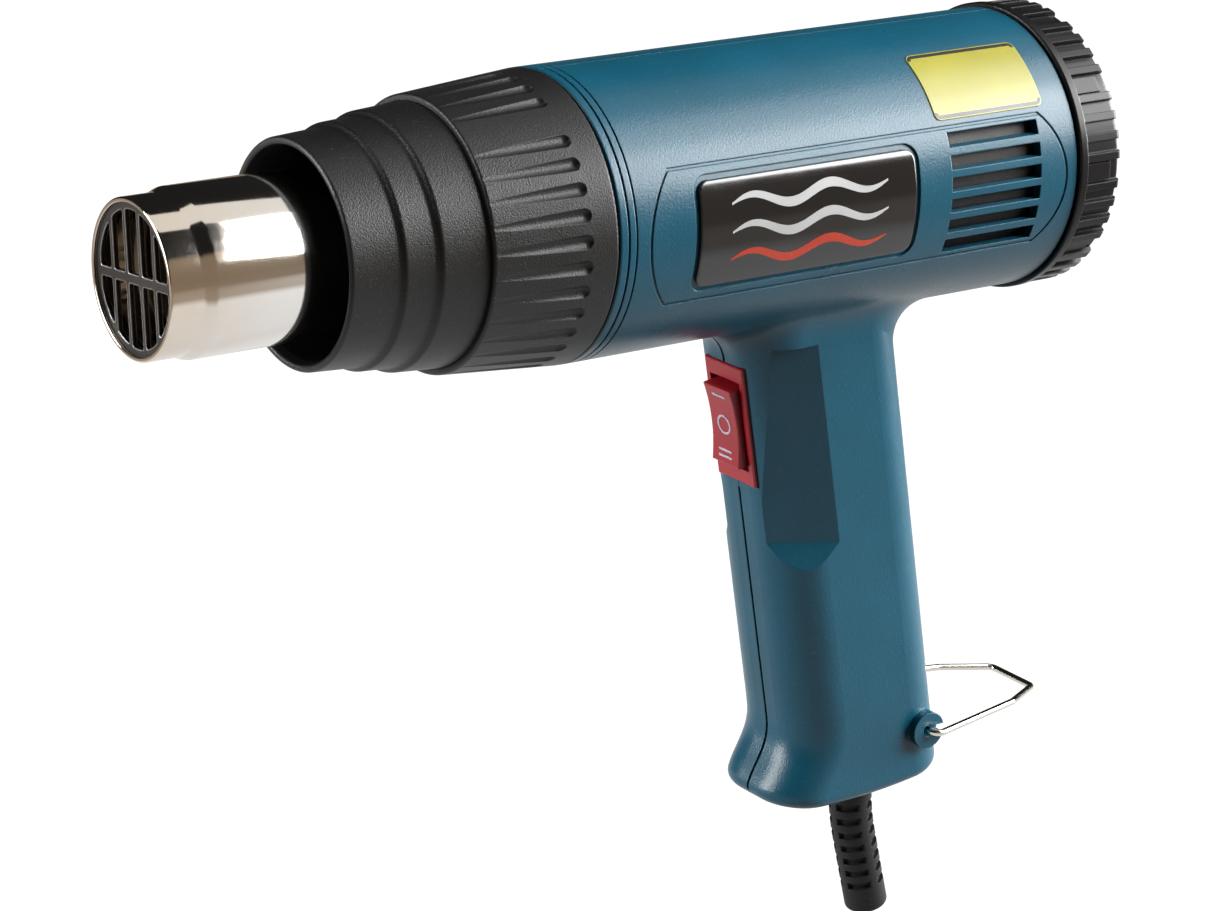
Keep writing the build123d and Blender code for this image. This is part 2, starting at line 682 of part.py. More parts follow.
def switch_frame():
    """Bezel and box of the rocker switch, in the handle's front."""
    bezel = Pos(0, 0, FRAME_FRONT - 0.6) * Box(SWITCH_LENGTH, SWITCH_WIDTH, 1.2)
    bezel = chamfer(bezel.edges().group_by(Axis.Z)[-1], 0.35)
    box = Pos(0, 0, -SWITCH_DEPTH / 2) * Box(*SWITCH_BOX, SWITCH_DEPTH)
    well = Pos(0, 0, -2.4) * Box(22.8, ROCKER_WIDTH + 0.8, 11.0)
    trunnions = Pos(0, 0, -ROCKER_PIVOT_DEPTH) * Rot(90, 0, 0) * Cylinder(1.05, 12.1)
    return switch_plane() * (bezel + box - well - trunnions)


def rocker_face(lift=0.0):
    """Side view of the rocker: a hollow-topped wedge, in its own X (length) and Z (height)."""
    half, high, low = ROCKER_LENGTH / 2, 3.3 + lift, 2.2 + lift
    face = ThreePointArc((-half, 0, high), (0, 0, low), (half, 0, high))
    skirt = Polyline(face @ 1, (half, 0, -1.5), (7.0, 0, -6.2), (-7.0, 0, -6.2), (-half, 0, -1.5), face @ 0)
    return make_face(Curve() + [face, skirt])


def switch_rocker():
    body = Pos(0, ROCKER_WIDTH / 2, 0) * extrude(rocker_face(), ROCKER_WIDTH, dir=(0, -1, 0))
    tips = [e for e in body.edges() if e.center().Z > 2.0 and e.length < 30]
    body = fillet(tips, 0.35)
    body += Pos(0, 0, -ROCKER_PIVOT_DEPTH) * Rot(90, 0, 0) * Cylinder(1.0, 11.9)
    return switch_plane() * body


def rocker_marks():
    """Printed marks for the three positions, a film on the rocker's face."""
    film = Pos(0, 4, 0) * extrude(rocker_face(0.08) - rocker_face(0.0), 8, dir=(0, -1, 0))
    bar = Box(0.55, 5.0, 20)
    marks = [Pos(-7.6, 0, 0) * bar, Pos(6.5, 0, 0) * bar, Pos(8.0, 0, 0) * bar]
    marks.append(Cylinder(2.5, 20) - Cylinder(1.95, 20))
    solids = []
    for mark in marks:
        solids += (film & mark).solids()
    return switch_plane() * Compound(solids)


def switch_terminals():
    blades = []
    for u in (-8.0, 0.0, 8.0):
        for v in (-3.2, 3.2):
            blades.append(Pos(u, v, -SWITCH_DEPTH - 4.0) * Box(4.8, 0.8, 8.0))
    return switch_plane() * Compound(blades)


# ---- Handle electrics ----
BOARD_CENTRE = (186.5, -107.0)


def handle_frame():
    """Plane along the handle's middle: local X down the handle, local Y across, local Z forwards."""
    lean = math.radians(LEAN)
    x, z = BOARD_CENTRE
    return Plane(origin=(x, 0, z), x_dir=(math.sin(lean), 0, -math.cos(lean)),
                 z_dir=(-math.cos(lean), 0, -math.sin(lean)))


def control_board():
    board = Box(30.0, 22.0, 1.6)
    return handle_frame() * (board - [Pos(x, 0, 0) * Cylinder(1.6, 4) for x in (-12.5, 12.5)])


def board_diodes():
    """Bridge of four diodes that feeds the motor."""
    diodes = []
    for u in (-6.0, -2.0, 2.0, 6.0):
        body = Pos(u, -3.5, 2.6) * Rot(90, 0, 0) * Cylinder(1.35, 5.5)
        lead = Pos(u, -3.5, 2.6) * Rot(90, 0, 0) * Cylinder(0.4, 9.5)
        feet = [Pos(u, v, 1.6) * Cylinder(0.4, 2.0) for v in (-8.0, 1.0)]
        diodes.append(body + lead + feet)
    return handle_frame() * Compound(diodes)


def board_capacitor():
    can = Pos(0, 6.0, 4.3) * Rot(0, 90, 0) * Cylinder(3.4, 14.0)
    return handle_frame() * fillet(can.edges(), 0.6)


CLAMP_Z = -136.0


def cord_clamp():
    """Saddle that grips the cord's end above the strain relief."""
    x = RELIEF_TOP[0]
    bar = block(x - 4.0, x + 4.0, -11.0, 11.0, CLAMP_Z - 3.0, CLAMP_Z + 3.0)
    bar = bar - Pos(x, 0, CLAMP_Z) * Cylinder(CORD_R + 0.1, 10)
    bar -= [rod_x(x - 8, x + 8, 1.5, side * 7.8, CLAMP_Z) for side in (-1, 1)]
    return bar


def clamp_screws():
    x = RELIEF_TOP[0] - 4.0
    one = Pos(x, 7.8, CLAMP_Z) * Rot(0, -90, 0) * screw(9.0, 1.4, 2.5, 1.6)
    return Compound([Pos(0, shift, 0) * one for shift in (0.0, -15.6)])


def strain_relief():
    """Moulded sleeve with eight rows of slots, so that it bends with the cord."""
    path = relief_path()
    start = Plane(origin=path @ 0, z_dir=path % 0)
    sleeve = sweep(start * Circle(RELIEF_R), path=path)
    bore = sweep(start * Circle(CORD_R), path=path)
    tip = sleeve.edges().sort_by(Axis.Z)[0]
    sleeve = fillet(tip, 1.2) - bore
    flange = Cylinder(RELIEF_FLANGE_R, 2.4) - Cylinder(CORD_R, 4)
    sleeve += Pos(RELIEF_TOP[0], 0, RELIEF_FLANGE_Z) * flange
    rows, pitch, first = 8, 3.7, 13.6
    for row in range(rows):
        distance = (first + row * pitch) / path.length
        ring = Cylinder(8, 1.9) - Cylinder(4.3, 4)
        ring -= Box(20, 2.1, 4)
        ring -= Box(2.1, 20, 4)
        place = Plane(origin=path @ distance, x_dir=(0, 1, 0), z_dir=path % distance)
        sleeve -= place * ring
    return sleeve


def lead_wires():
    """Two leads from the board up to the switch."""
    wires = []
    for y in (-4.5, 4.5):
        route = [(184.5, y, -89.5), (181.5, y, -80.5), (182.0, y, -66.5), (182.6, y, -62.0)]
        path = FilletPolyline(*route, radius=6)
        section = Plane(origin=path @ 0, z_dir=path % 0) * Circle(0.9)
        wires.append(sweep(section, path=path))
    return Compound(wires)


# ---- Bail ----
def hanging_bail():
    """Bent wire loop with a pointed end, hinged in the two eyes."""
    droop = math.radians(BAIL_DROOP)
    x, z = EYE_CENTRE
    corners = [(0, -12.6), (0, -BAIL_HALF_WIDTH), (36.0, -8.0), (49.6, 0.0), (50.0, 16.0), (35.4, 20.4),
               (0, BAIL_HALF_WIDTH), (0, 12.6)]
    points = [(x + t * math.cos(droop), y, z - t * math.sin(droop)) for t, y in corners]
    path = FilletPolyline(*points, radius=2.0)
    section = Plane(origin=path @ 0, z_dir=path % 0) * Circle(BAIL_R)
    return sweep(section, path=path)


NODES = {
    "nozzle_tube": nozzle_tube,
    "nozzle_grille": nozzle_grille,
    "mica_tube": mica_tube,
    "heater_core": heater_core,
    "heating_coil": heating_coil,
    "heater_terminals": heater_terminals,
    "thermal_fuse": thermal_fuse,
    "nozzle_flange": nozzle_flange,
    "flange_screws": flange_screws,
    "guard_cone": guard_cone,
    "grip_collar": grip_collar,
    "housing_left": lambda: housing_half(-1),
    "housing_right": lambda: housing_half(1),
    "housing_screws": housing_screws,
    "badge_left": lambda: badge(-1),
    "badge_right": lambda: badge(1),
    "caution_label": caution_label,
    "air_control_cap": air_control_cap,
    "shutter_sleeve": shutter_sleeve,
    "shutter_screws": shutter_screws,
    "air_funnel": air_funnel,
    "motor_bracket": motor_bracket,
    "bracket_screws": bracket_screws,
    "motor_can": motor_can,
    "motor_magnets": motor_magnets,
    "motor_end_cap": motor_end_cap,
    "bearing_front": lambda: bearing(MOTOR_FRONT - 0.5, MOTOR_FRONT + 4.5),
    "bearing_rear": lambda: bearing(MOTOR_END - 4.0, MOTOR_END + 2.0),
    "brush_holders": brush_holders,
    "motor_shaft": motor_shaft,
    "armature": armature,
    "commutator": commutator,
    "fan_impeller": fan_impeller,
    "switch_frame": switch_frame,
    "switch_rocker": switch_rocker,
    "rocker_marks": rocker_marks,
    "switch_terminals": switch_terminals,
    "control_board": control_board,
    "board_diodes": board_diodes,
    "board_capacitor": board_capacitor,
    "cord_clamp": cord_clamp,
    "clamp_screws": clamp_screws,
    "strain_relief": strain_relief,
    "lead_wires": lead_wires,
    "hanging_bail": hanging_bail,
}

if __name__ == "__main__":
    os.makedirs("parts", exist_ok=True)
    for name, make in NODES.items():
        export_step(make(), f"parts/{name}.step")
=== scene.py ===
import math

import bmesh
import bpy
from bpy.props import FloatProperty, FloatVectorProperty, PointerProperty
from mathutils import Matrix, Vector


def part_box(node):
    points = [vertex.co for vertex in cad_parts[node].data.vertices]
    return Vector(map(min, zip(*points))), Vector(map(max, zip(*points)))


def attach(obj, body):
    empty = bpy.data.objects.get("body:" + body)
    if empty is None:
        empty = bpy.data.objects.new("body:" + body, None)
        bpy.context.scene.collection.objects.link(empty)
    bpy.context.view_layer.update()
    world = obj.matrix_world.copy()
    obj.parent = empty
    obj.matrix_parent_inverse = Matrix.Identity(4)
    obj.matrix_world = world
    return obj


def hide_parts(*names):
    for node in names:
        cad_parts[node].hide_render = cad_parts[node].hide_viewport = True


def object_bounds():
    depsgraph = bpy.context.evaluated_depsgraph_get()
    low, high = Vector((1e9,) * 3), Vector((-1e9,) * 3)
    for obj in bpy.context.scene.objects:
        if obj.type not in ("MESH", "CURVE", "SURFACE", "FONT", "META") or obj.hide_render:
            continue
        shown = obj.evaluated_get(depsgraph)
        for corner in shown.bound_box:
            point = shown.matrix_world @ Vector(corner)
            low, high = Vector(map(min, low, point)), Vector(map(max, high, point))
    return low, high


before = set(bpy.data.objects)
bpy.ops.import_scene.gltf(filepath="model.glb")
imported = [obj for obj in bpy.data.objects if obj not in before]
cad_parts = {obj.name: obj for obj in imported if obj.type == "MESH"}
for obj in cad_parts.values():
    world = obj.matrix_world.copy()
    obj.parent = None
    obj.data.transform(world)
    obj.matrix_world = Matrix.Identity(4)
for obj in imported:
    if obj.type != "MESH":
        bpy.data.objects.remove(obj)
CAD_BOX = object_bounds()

bl_info = {
    "name": "Heat gun finish",
    "version": (1, 0, 0),
    "blender": (4, 5, 0),
    "location": "View3D > Sidebar > Heat Gun",
    "description": "Builds the finishes and fine pieces of a heat gun on its CAD frame",
    "category": "Object",
}

MM = 0.001
FLOOR_RADIUS = 12.0
FLOOR_BELOW = 0.002       # how far the floor lies below the gun
GUN_MIDDLE = Vector((0.13, 0.0, -0.03))
CAMERA_PLACE = (-0.3745, -0.6972, 0.2221)
CAMERA_BACK = (-0.5516, -0.7733, 0.3125)
CAMERA_ROLL = 1.23        # degrees

ARC_STEPS = 8             # of a rounded corner
TURN_STEPS = 192          # of a full turn about the barrel
WAVE_STEPS = 72           # of a wave's length

MOUTH_R = 17.5 * MM       # outside of the nozzle's mouth
TUBE_WALL = 0.8 * MM
STEP_FRONT = 8.0 * MM
STEP_REAR = 10.4 * MM
LABEL_R = 33.76 * MM      # just clear of the label
LABEL_LIFT = 45.5         # degrees above level of the label's middle
LABEL_HALF = 9.0 * MM     # half the label's height, around the barrel
BADGE_R = 33.9 * MM       # just clear of the badges
WAVES = 3
WAVE_PITCH = 6.4 * MM
WAVE_REACH = 22.0 * MM
WAVE_SWING = 1.5 * MM
WAVE_HALF_WIDTH = 1.15 * MM


# ---- Settings ----
def colour(name, description, default):
    """A colour that a user can change."""
    return FloatVectorProperty(name=name, description=description, default=default, subtype="COLOR",
                               size=3, min=0.0, max=1.0)


class ShellSettings(bpy.types.PropertyGroup):
    """The moulded casing and the guard."""
    shell: colour("Shell", "Colour of the two casing shells", (0.0038, 0.066, 0.108))
    guard: colour("Guard", "Colour of the heat guard and its collar", (0.006, 0.0062, 0.0066))
    cap: colour("End cap", "Colour of the knurled end cap", (0.006, 0.006, 0.0065))
    grain_size: FloatProperty(name="Grain size", description="Distance between bumps of the moulded grain",
                              default=0.42 * MM, min=0.05 * MM, unit="LENGTH")
    grain_depth: FloatProperty(name="Grain depth", description="Height of the moulded grain",
                               default=0.035 * MM, min=0.0, unit="LENGTH")


class MetalSettings(bpy.types.PropertyGroup):
    """Chrome, wire and grille."""
    chrome: colour("Chrome", "Colour of the nozzle's plating", (0.80, 0.775, 0.745))
    straw: colour("Heat tint", "Colour of the plating where it has run hot", (0.66, 0.49, 0.31))
    grille: colour("Grille", "Colour of the nozzle's grille", (0.045, 0.043, 0.042))
    wire: colour("Wire", "Colour of the bail's plating", (0.70, 0.665, 0.61))


class TrimSettings(bpy.types.PropertyGroup):
    """Switch, badge, label and cord sleeve."""
    switch: colour("Switch", "Colour of the switch", (0.30, 0.008, 0.016))
    marks: colour("Marks", "Colour of the printed switch marks", (0.50, 0.46, 0.56))
    badge: colour("Badge", "Colour of the domed badges", (0.006, 0.006, 0.007))
    label: colour("Label", "Colour of the label", (0.27, 0.25, 0.016))
    sleeve: colour("Cord sleeve", "Colour of the cord sleeve", (0.008, 0.008, 0.0085))


class StageSettings(bpy.types.PropertyGroup):
    """Floor, lights and camera."""
    floor: colour("Floor", "Colour of the floor", (0.06, 0.06, 0.06))
    key_power: FloatProperty(name="Key", description="Power of the main softbox", default=43.0, min=0.0,
                             unit="POWER")
    lens: FloatProperty(name="Lens", description="Focal length of the camera", default=116.1, min=1.0,
                        unit="CAMERA")


class HeatGunSettings(bpy.types.PropertyGroup):
    """All settings of the heat gun."""
    shell: PointerProperty(type=ShellSettings)
    metal: PointerProperty(type=MetalSettings)
    trim: PointerProperty(type=TrimSettings)
    stage: PointerProperty(type=StageSettings)


def settings():
    return bpy.context.scene.heat_gun


# ---- Node helpers ----
def new_group(name, inputs, outputs):
    """An empty shader group with named sockets: (name, kind, default) in, (name, kind) out."""
    group = bpy.data.node_groups.new(name, "ShaderNodeTree")
    for label, kind, default in inputs:
        socket = group.interface.new_socket(name=label, in_out="INPUT", socket_type="NodeSocket" + kind)
        if default is not None:
            socket.default_value = default
    for label, kind in outputs:
        group.interface.new_socket(name=label, in_out="OUTPUT", socket_type="NodeSocket" + kind)
    return group, group.nodes.new("NodeGroupInput"), group.nodes.new("NodeGroupOutput")


def add(tree, kind, values=(), **attributes):
    """A node with its attributes and its input values set; values are (socket, value)."""
    node = tree.nodes.new("ShaderNode" + kind)
    for key, value in attributes.items():
        setattr(node, key, value)
    for socket, value in values:
        node.inputs[socket].default_value = value
    return node


def wire_up(tree, *pairs):
    for source, target in pairs:
        tree.links.new(source, target)


def maths(tree, operation, first, second=None, clamp=False):
    """A Math node fed by sockets or numbers; returns its output."""
    node = add(tree, "Math", operation=operation, use_clamp=clamp)
    for i, value in enumerate((first, second)):
        if value is None:
            continue
        if isinstance(value, (int, float)):
            node.inputs[i].default_value = value
        else:
            tree.links.new(value, node.inputs[i])
    return node.outputs[0]


def spread(tree, value, low, high, to_low=0.0, to_high=1.0):
    """Map Range from low..high to another range, clamped."""
    node = add(tree, "MapRange", [("From Min", low), ("From Max", high),
                                  ("To Min", to_low), ("To Max", to_high)])
    tree.links.new(value, node.inputs["Value"])
    return node.outputs["Result"]


def mix_colour(tree, factor, first, second):
    """Mix two colours; each is a socket or an RGB triple."""
    node = add(tree, "Mix", data_type="RGBA")
    if isinstance(factor, (int, float)):
        node.inputs[0].default_value = factor
    else:
        tree.links.new(factor, node.inputs[0])
    for socket, value in ((node.inputs[6], first), (node.inputs[7], second)):
        if isinstance(value, bpy.types.NodeSocket):
            tree.links.new(value, socket)
        else:
            socket.default_value = (*value, 1.0)
    return node.outputs[2]


def place(tree, group, **values):
    """A shared group placed in a material; names use _ for spaces."""
    node = tree.nodes.new("ShaderNodeGroup")
    node.node_tree = group
    for key, value in values.items():
        node.inputs[key.replace("_", " ")].default_value = value
    return node


# ---- Shared effects ----
def moulded_grain():
    """Spark-eroded mould grain: rounded bumps in two sizes."""
    group, inside, outside = new_group("Moulded grain", [("Size", "Float", 0.0004)],
                                       [("Height", "Float"), ("Tone", "Float")])
    coords = add(group, "TexCoord")
    scale = maths(group, "DIVIDE", 1.0, inside.outputs["Size"])
    bumps = add(group, "TexVoronoi", [("Randomness", 1.0)], feature="SMOOTH_F1")
    fine = add(group, "TexNoise", [("Detail", 2.0), ("Roughness", 0.6)])
    fine_scale = maths(group, "MULTIPLY", scale, 1.9)
    broad = add(group, "TexNoise", [("Scale", 55.0), ("Detail", 3.0)])
    wire_up(group, (coords.outputs["Object"], bumps.inputs["Vector"]), (scale, bumps.inputs["Scale"]),
            (coords.outputs["Object"], fine.inputs["Vector"]), (fine_scale, fine.inputs["Scale"]),
            (coords.outputs["Object"], broad.inputs["Vector"]))
    rounded = spread(group, bumps.outputs["Distance"], 0.1, 0.8, 1.0, 0.0)
    height = maths(group, "ADD", rounded, maths(group, "MULTIPLY", fine.outputs["Fac"], 0.7))
    wire_up(group, (height, outside.inputs["Height"]),
            (spread(group, broad.outputs["Fac"], 0.3, 0.7), outside.inputs["Tone"]))
    return group


def soft_edges():
    """Normals rounded over sharp edges, and a mask of where those edges are."""
    group, inside, outside = new_group("Soft edges", [("Radius", "Float", 0.0003)],
                                       [("Normal", "Vector"), ("Edge", "Float")])
    bevel = add(group, "Bevel", samples=4)
    face = add(group, "NewGeometry")
    dot = add(group, "VectorMath", operation="DOT_PRODUCT")
    wire_up(group, (inside.outputs["Radius"], bevel.inputs["Radius"]),
            (bevel.outputs["Normal"], dot.inputs[0]), (face.outputs["Normal"], dot.inputs[1]),
            (bevel.outputs["Normal"], outside.inputs["Normal"]))
    edge = spread(group, dot.outputs["Value"], 0.995, 0.86)
    wire_up(group, (edge, outside.inputs["Edge"]))
    return group


def handling():
    """Broad smudges and fine dust that change how glossy a surface is."""
    group, inside, outside = new_group("Handling", [("Dust", "Float", 0.3)],
                                       [("Smudge", "Float"), ("Dust", "Float")])
    coords = add(group, "TexCoord")
    smear = add(group, "TexNoise", [("Scale", 34.0), ("Detail", 5.0), ("Roughness", 0.62),
                                    ("Distortion", 0.6)])
    specks = add(group, "TexNoise", [("Scale", 1500.0), ("Detail", 2.0)])
    wire_up(group, (coords.outputs["Object"], smear.inputs["Vector"]),
            (coords.outputs["Object"], specks.inputs["Vector"]))
    speck = spread(group, specks.outputs["Fac"], 0.66, 0.76)
    wire_up(group, (spread(group, smear.outputs["Fac"], 0.35, 0.7), outside.inputs["Smudge"]),
            (maths(group, "MULTIPLY", speck, inside.outputs["Dust"]), outside.inputs["Dust"]))
    return group


def drawn_metal():
    """Fine turning lines round the barrel's axis."""
    group, inside, outside = new_group("Drawn metal", [("Lines", "Float", 2600.0)],
                                       [("Height", "Float"), ("Tone", "Float")])
    coords = add(group, "TexCoord")
    squeeze = add(group, "Mapping", [("Scale", (1.0, 0.03, 0.03))])
    lines = add(group, "TexNoise", [("Detail", 3.0), ("Roughness", 0.7)])
    wire_up(group, (coords.outputs["Object"], squeeze.inputs["Vector"]),
            (squeeze.outputs["Vector"], lines.inputs["Vector"]),
            (inside.outputs["Lines"], lines.inputs["Scale"]),
            (lines.outputs["Fac"], outside.inputs["Height"]),
            (spread(group, lines.outputs["Fac"], 0.35, 0.65), outside.inputs["Tone"]))
    return group


GROUPS = {}


def effect(name):
    """A shared effect, made the first time that it is asked for."""
    makers = {"grain": moulded_grain, "edges": soft_edges, "handling": handling, "drawn": drawn_metal}
    if name not in GROUPS:
        GROUPS[name] = makers[name]()
    return GROUPS[name]


# ---- Materials ----
def principled(name, **values):
    """A material with a Principled BSDF and its constants set; names use _ for spaces."""
    material = bpy.data.materials.new(name)
    material.use_nodes = True
    tree = material.node_tree
    shader = tree.nodes["Principled BSDF"]
    for key, value in values.items():
        socket = shader.inputs[key.replace("_", " ")]
        socket.default_value = (*value, 1.0) if socket.type == "RGBA" and len(value) == 3 else value
    return material, tree, shader


def bump(tree, shader, height, distance, strength=1.0, normal=None):
    node = add(tree, "Bump", [("Strength", strength), ("Distance", distance)])
    tree.links.new(height, node.inputs["Height"])
    if normal is not None:
        tree.links.new(normal, node.inputs["Normal"])
    tree.links.new(node.outputs["Normal"], shader.inputs["Normal"])


def lighter(base, factor):
    return tuple(min(1.0, c * factor) for c in base)


def moulded_plastic(name, base, roughness, grain_depth, painted_edge_lift=1.6, edge_radius=0.35 * MM, dust=0.25,
                    grain_size=None, specular=0.24):
    """Grained plastic with painted highlights along its edges, faint smudges and dust."""
    material, tree, shader = principled(name, Specular_IOR_Level=specular)
    grain = place(tree, effect("grain"), Size=grain_size or settings().shell.grain_size)
    edges = place(tree, effect("edges"), Radius=edge_radius)
    touch = place(tree, effect("handling"), Dust=dust)
    toned = mix_colour(tree, grain.outputs["Tone"], lighter(base, 0.92), lighter(base, 1.08))
    # The edge mask lightens the colour along sharp edges: a painted highlight.
    edge_highlight_mask = maths(tree, "MULTIPLY", edges.outputs["Edge"], 0.5)
    edge_highlit_colour = mix_colour(tree, edge_highlight_mask, toned, lighter(base, painted_edge_lift))
    dusty = maths(tree, "MULTIPLY", touch.outputs["Dust"], 0.35)
    dusted = mix_colour(tree, dusty, edge_highlit_colour, (0.42, 0.42, 0.42))
    smooth = spread(tree, touch.outputs["Smudge"], 0.0, 1.0, roughness + 0.03, roughness - 0.04)
    rough = maths(tree, "ADD", smooth, maths(tree, "MULTIPLY", touch.outputs["Dust"], 0.2))
    wire_up(tree, (dusted, shader.inputs["Base Color"]), (rough, shader.inputs["Roughness"]))
    bump(tree, shader, grain.outputs["Height"], grain_depth, 1.0, edges.outputs["Normal"])
    return material


def chrome_plate(name, base, straw, heated):
    """Polished plating, straw coloured where it has run hot."""
    material, tree, shader = principled(name, Metallic=1.0, Roughness=0.06)
    lines = place(tree, effect("drawn"), Lines=2600.0)
    touch = place(tree, effect("handling"), Dust=0.5)
    coords = add(tree, "TexCoord")
    axis = add(tree, "SeparateXYZ")
    wire_up(tree, (coords.outputs["Object"], axis.inputs[0]))
    heat = spread(tree, axis.outputs["X"], heated, 0.0)
    heat = maths(tree, "MULTIPLY", heat, spread(tree, touch.outputs["Smudge"], 0.0, 1.0, 0.25, 0.55))
    tinted = mix_colour(tree, heat, base, straw)
    rough = maths(tree, "ADD", spread(tree, touch.outputs["Smudge"], 0.0, 1.0, 0.05, 0.10),
                  spread(tree, lines.outputs["Tone"], 0.0, 1.0, 0.0, 0.035))
    wire_up(tree, (tinted, shader.inputs["Base Color"]), (rough, shader.inputs["Roughness"]))
    bump(tree, shader, lines.outputs["Height"], 0.002 * MM, 0.5)
    return material


def plain_metal(name, base, roughness, lines=900.0, rim=None, rim_width=0.25 * MM):
    """Pressed or turned metal with fine lines and painted highlights along its edges; rim is the grey of
    the painted edge highlight.
    """
    material, tree, shader = principled(name, Metallic=1.0)
    drawn = place(tree, effect("drawn"), Lines=lines)
    edges = place(tree, effect("edges"), Radius=rim_width)
    touch = place(tree, effect("handling"), Dust=0.4)
    toned = mix_colour(tree, drawn.outputs["Tone"], lighter(base, 0.8), lighter(base, 1.15))
    # Edges lighten towards this colour: a painted highlight along them.
    bright = lighter(base, 2.4) if rim is None else (rim, rim, rim)
    edge_highlit_colour = mix_colour(tree, maths(tree, "MULTIPLY", edges.outputs["Edge"], 0.8), toned, bright)
    rough = spread(tree, touch.outputs["Smudge"], 0.0, 1.0, roughness - 0.07, roughness + 0.07)
    wire_up(tree, (edge_highlit_colour, shader.inputs["Base Color"]), (rough, shader.inputs["Roughness"]))
    bump(tree, shader, drawn.outputs["Height"], 0.004 * MM, 0.5, edges.outputs["Normal"])
    return material


def glossy_plastic(name, base, roughness, coat=0.0, edge_radius=0.4 * MM, ripple=0.004 * MM,
                   specular=0.5):
    """Smooth plastic with a faint moulding ripple and painted highlights along its edges."""
    material, tree, shader = principled(name, Coat_Roughness=0.04, Specular_IOR_Level=specular)
    shader.inputs["Coat Weight"].default_value = coat
    edges = place(tree, effect("edges"), Radius=edge_radius)
    touch = place(tree, effect("handling"), Dust=0.35)
    grain = place(tree, effect("grain"), Size=2.4 * MM)
    toned = mix_colour(tree, grain.outputs["Tone"], lighter(base, 0.9), lighter(base, 1.12))
    # The edge mask lightens the colour along sharp edges: a painted highlight.
    edge_highlit_colour = mix_colour(tree, maths(tree, "MULTIPLY", edges.outputs["Edge"], 0.4), toned, lighter(base, 1.7))
    rough = maths(tree, "ADD", spread(tree, touch.outputs["Smudge"], 0.0, 1.0, roughness, roughness + 0.07),
                  maths(tree, "MULTIPLY", touch.outputs["Dust"], 0.25))
    wire_up(tree, (edge_highlit_colour, shader.inputs["Base Color"]), (rough, shader.inputs["Roughness"]))
    bump(tree, shader, grain.outputs["Height"], ripple, 0.6, edges.outputs["Normal"])
    return material


def finish_node(node, material):
    """Gives a CAD node its finish."""
    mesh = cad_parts[node].data
    mesh.materials.clear()
    mesh.materials.append(material)


# ---- Operators ----
class HeatGunStep(bpy.types.Operator):
    """Base of the heat gun's steps: runs build"""
    bl_options = {"REGISTER"}

    def execute(self, context):
        self.build(context.scene.heat_gun)
        return {"FINISHED"}


class HEATGUN_OT_stage(HeatGunStep):
    """Make the floor, the soft lights and the camera"""
    bl_idname = "heatgun.stage"
    bl_label = "Stage"

    def build(self, cfg):
        make_floor(cfg.stage.floor, CAD_BOX[0].z - FLOOR_BELOW)
        make_lights(cfg.stage.key_power)
        make_world()
        make_camera(cfg.stage.lens)


def make_floor(base, height):
    """A wide round floor that glows without lighting the gun; its mirror image is warm far from the gun."""
    mesh = bpy.data.meshes.new("studio_floor")
    build = bmesh.new()
    bmesh.ops.create_circle(build, cap_ends=True, segments=96, radius=FLOOR_RADIUS)
    build.to_mesh(mesh)
    build.free()
    floor = bpy.data.objects.new("studio_floor", mesh)
    floor.location = (GUN_MIDDLE.x, 0.0, height)
    bpy.context.scene.collection.objects.link(floor)
    material, tree, shader = principled("Studio floor", Roughness=0.8, Specular_IOR_Level=0.1,
                                        Emission_Strength=1.0)
    mottle = add(tree, "TexNoise", [("Scale", 3.0), ("Detail", 2.0)])
    shade = mix_colour(tree, mottle.outputs["Fac"], lighter(base, 0.99), lighter(base, 1.01))
    sight = add(tree, "LightPath")
    coords = add(tree, "TexCoord")
    reach = add(tree, "VectorMath", operation="LENGTH")
    tree.links.new(coords.outputs["Object"], reach.inputs[0])
    far = spread(tree, reach.outputs["Value"], 0.36, 0.5)
    gloss = mix_colour(tree, far, (0.74, 0.74, 0.74), (0.27, 0.21, 0.15))
    mirrored = mix_colour(tree, sight.outputs["Is Glossy Ray"], (1.0, 1.0, 1.0), gloss)
    glow = mix_colour(tree, sight.outputs["Is Diffuse Ray"], mirrored, (0.0, 0.0, 0.0))
    wire_up(tree, (shade, shader.inputs["Base Color"]), (glow, shader.inputs["Emission Color"]))
    mesh.materials.append(material)


def make_lights(power):
    """Two front softboxes, the lower one stronger, a weak long overhead one, and one on the left."""

    def softbox(name, height, turn, distance, size, strength, tint=(1.0, 1.0, 1.0)):
        """A light height degrees up from -Y about the barrel, then turn degrees towards +X."""
        facing = (Matrix.Rotation(math.radians(90.0 - height), 4, "X")
                  @ Matrix.Rotation(math.radians(turn), 4, "Y"))
        data = bpy.data.lights.new(name, "AREA")
        data.shape = "RECTANGLE"
        data.size, data.size_y = size
        data.energy = strength
        data.color = tint
        lamp = bpy.data.objects.new(name, data)
        lamp.matrix_world = (Matrix.Translation(GUN_MIDDLE) @ facing
                             @ Matrix.Translation((0.0, 0.0, distance)))
        bpy.context.scene.collection.objects.link(lamp)

    softbox("front_softbox", 38.0, 57.0, 1.2, (1.45, 0.58), power)
    softbox("upper_softbox", 64.0, 57.0, 1.2, (1.45, 0.56), power * 0.4)
    softbox("overhead_softbox", 92.0, 13.0, 1.1, (2.4, 0.57), power * 0.09, (1.0, 0.97, 0.92))
    softbox("left_softbox", 152.0, -61.0, 1.4, (0.6, 1.0), power * 0.7)


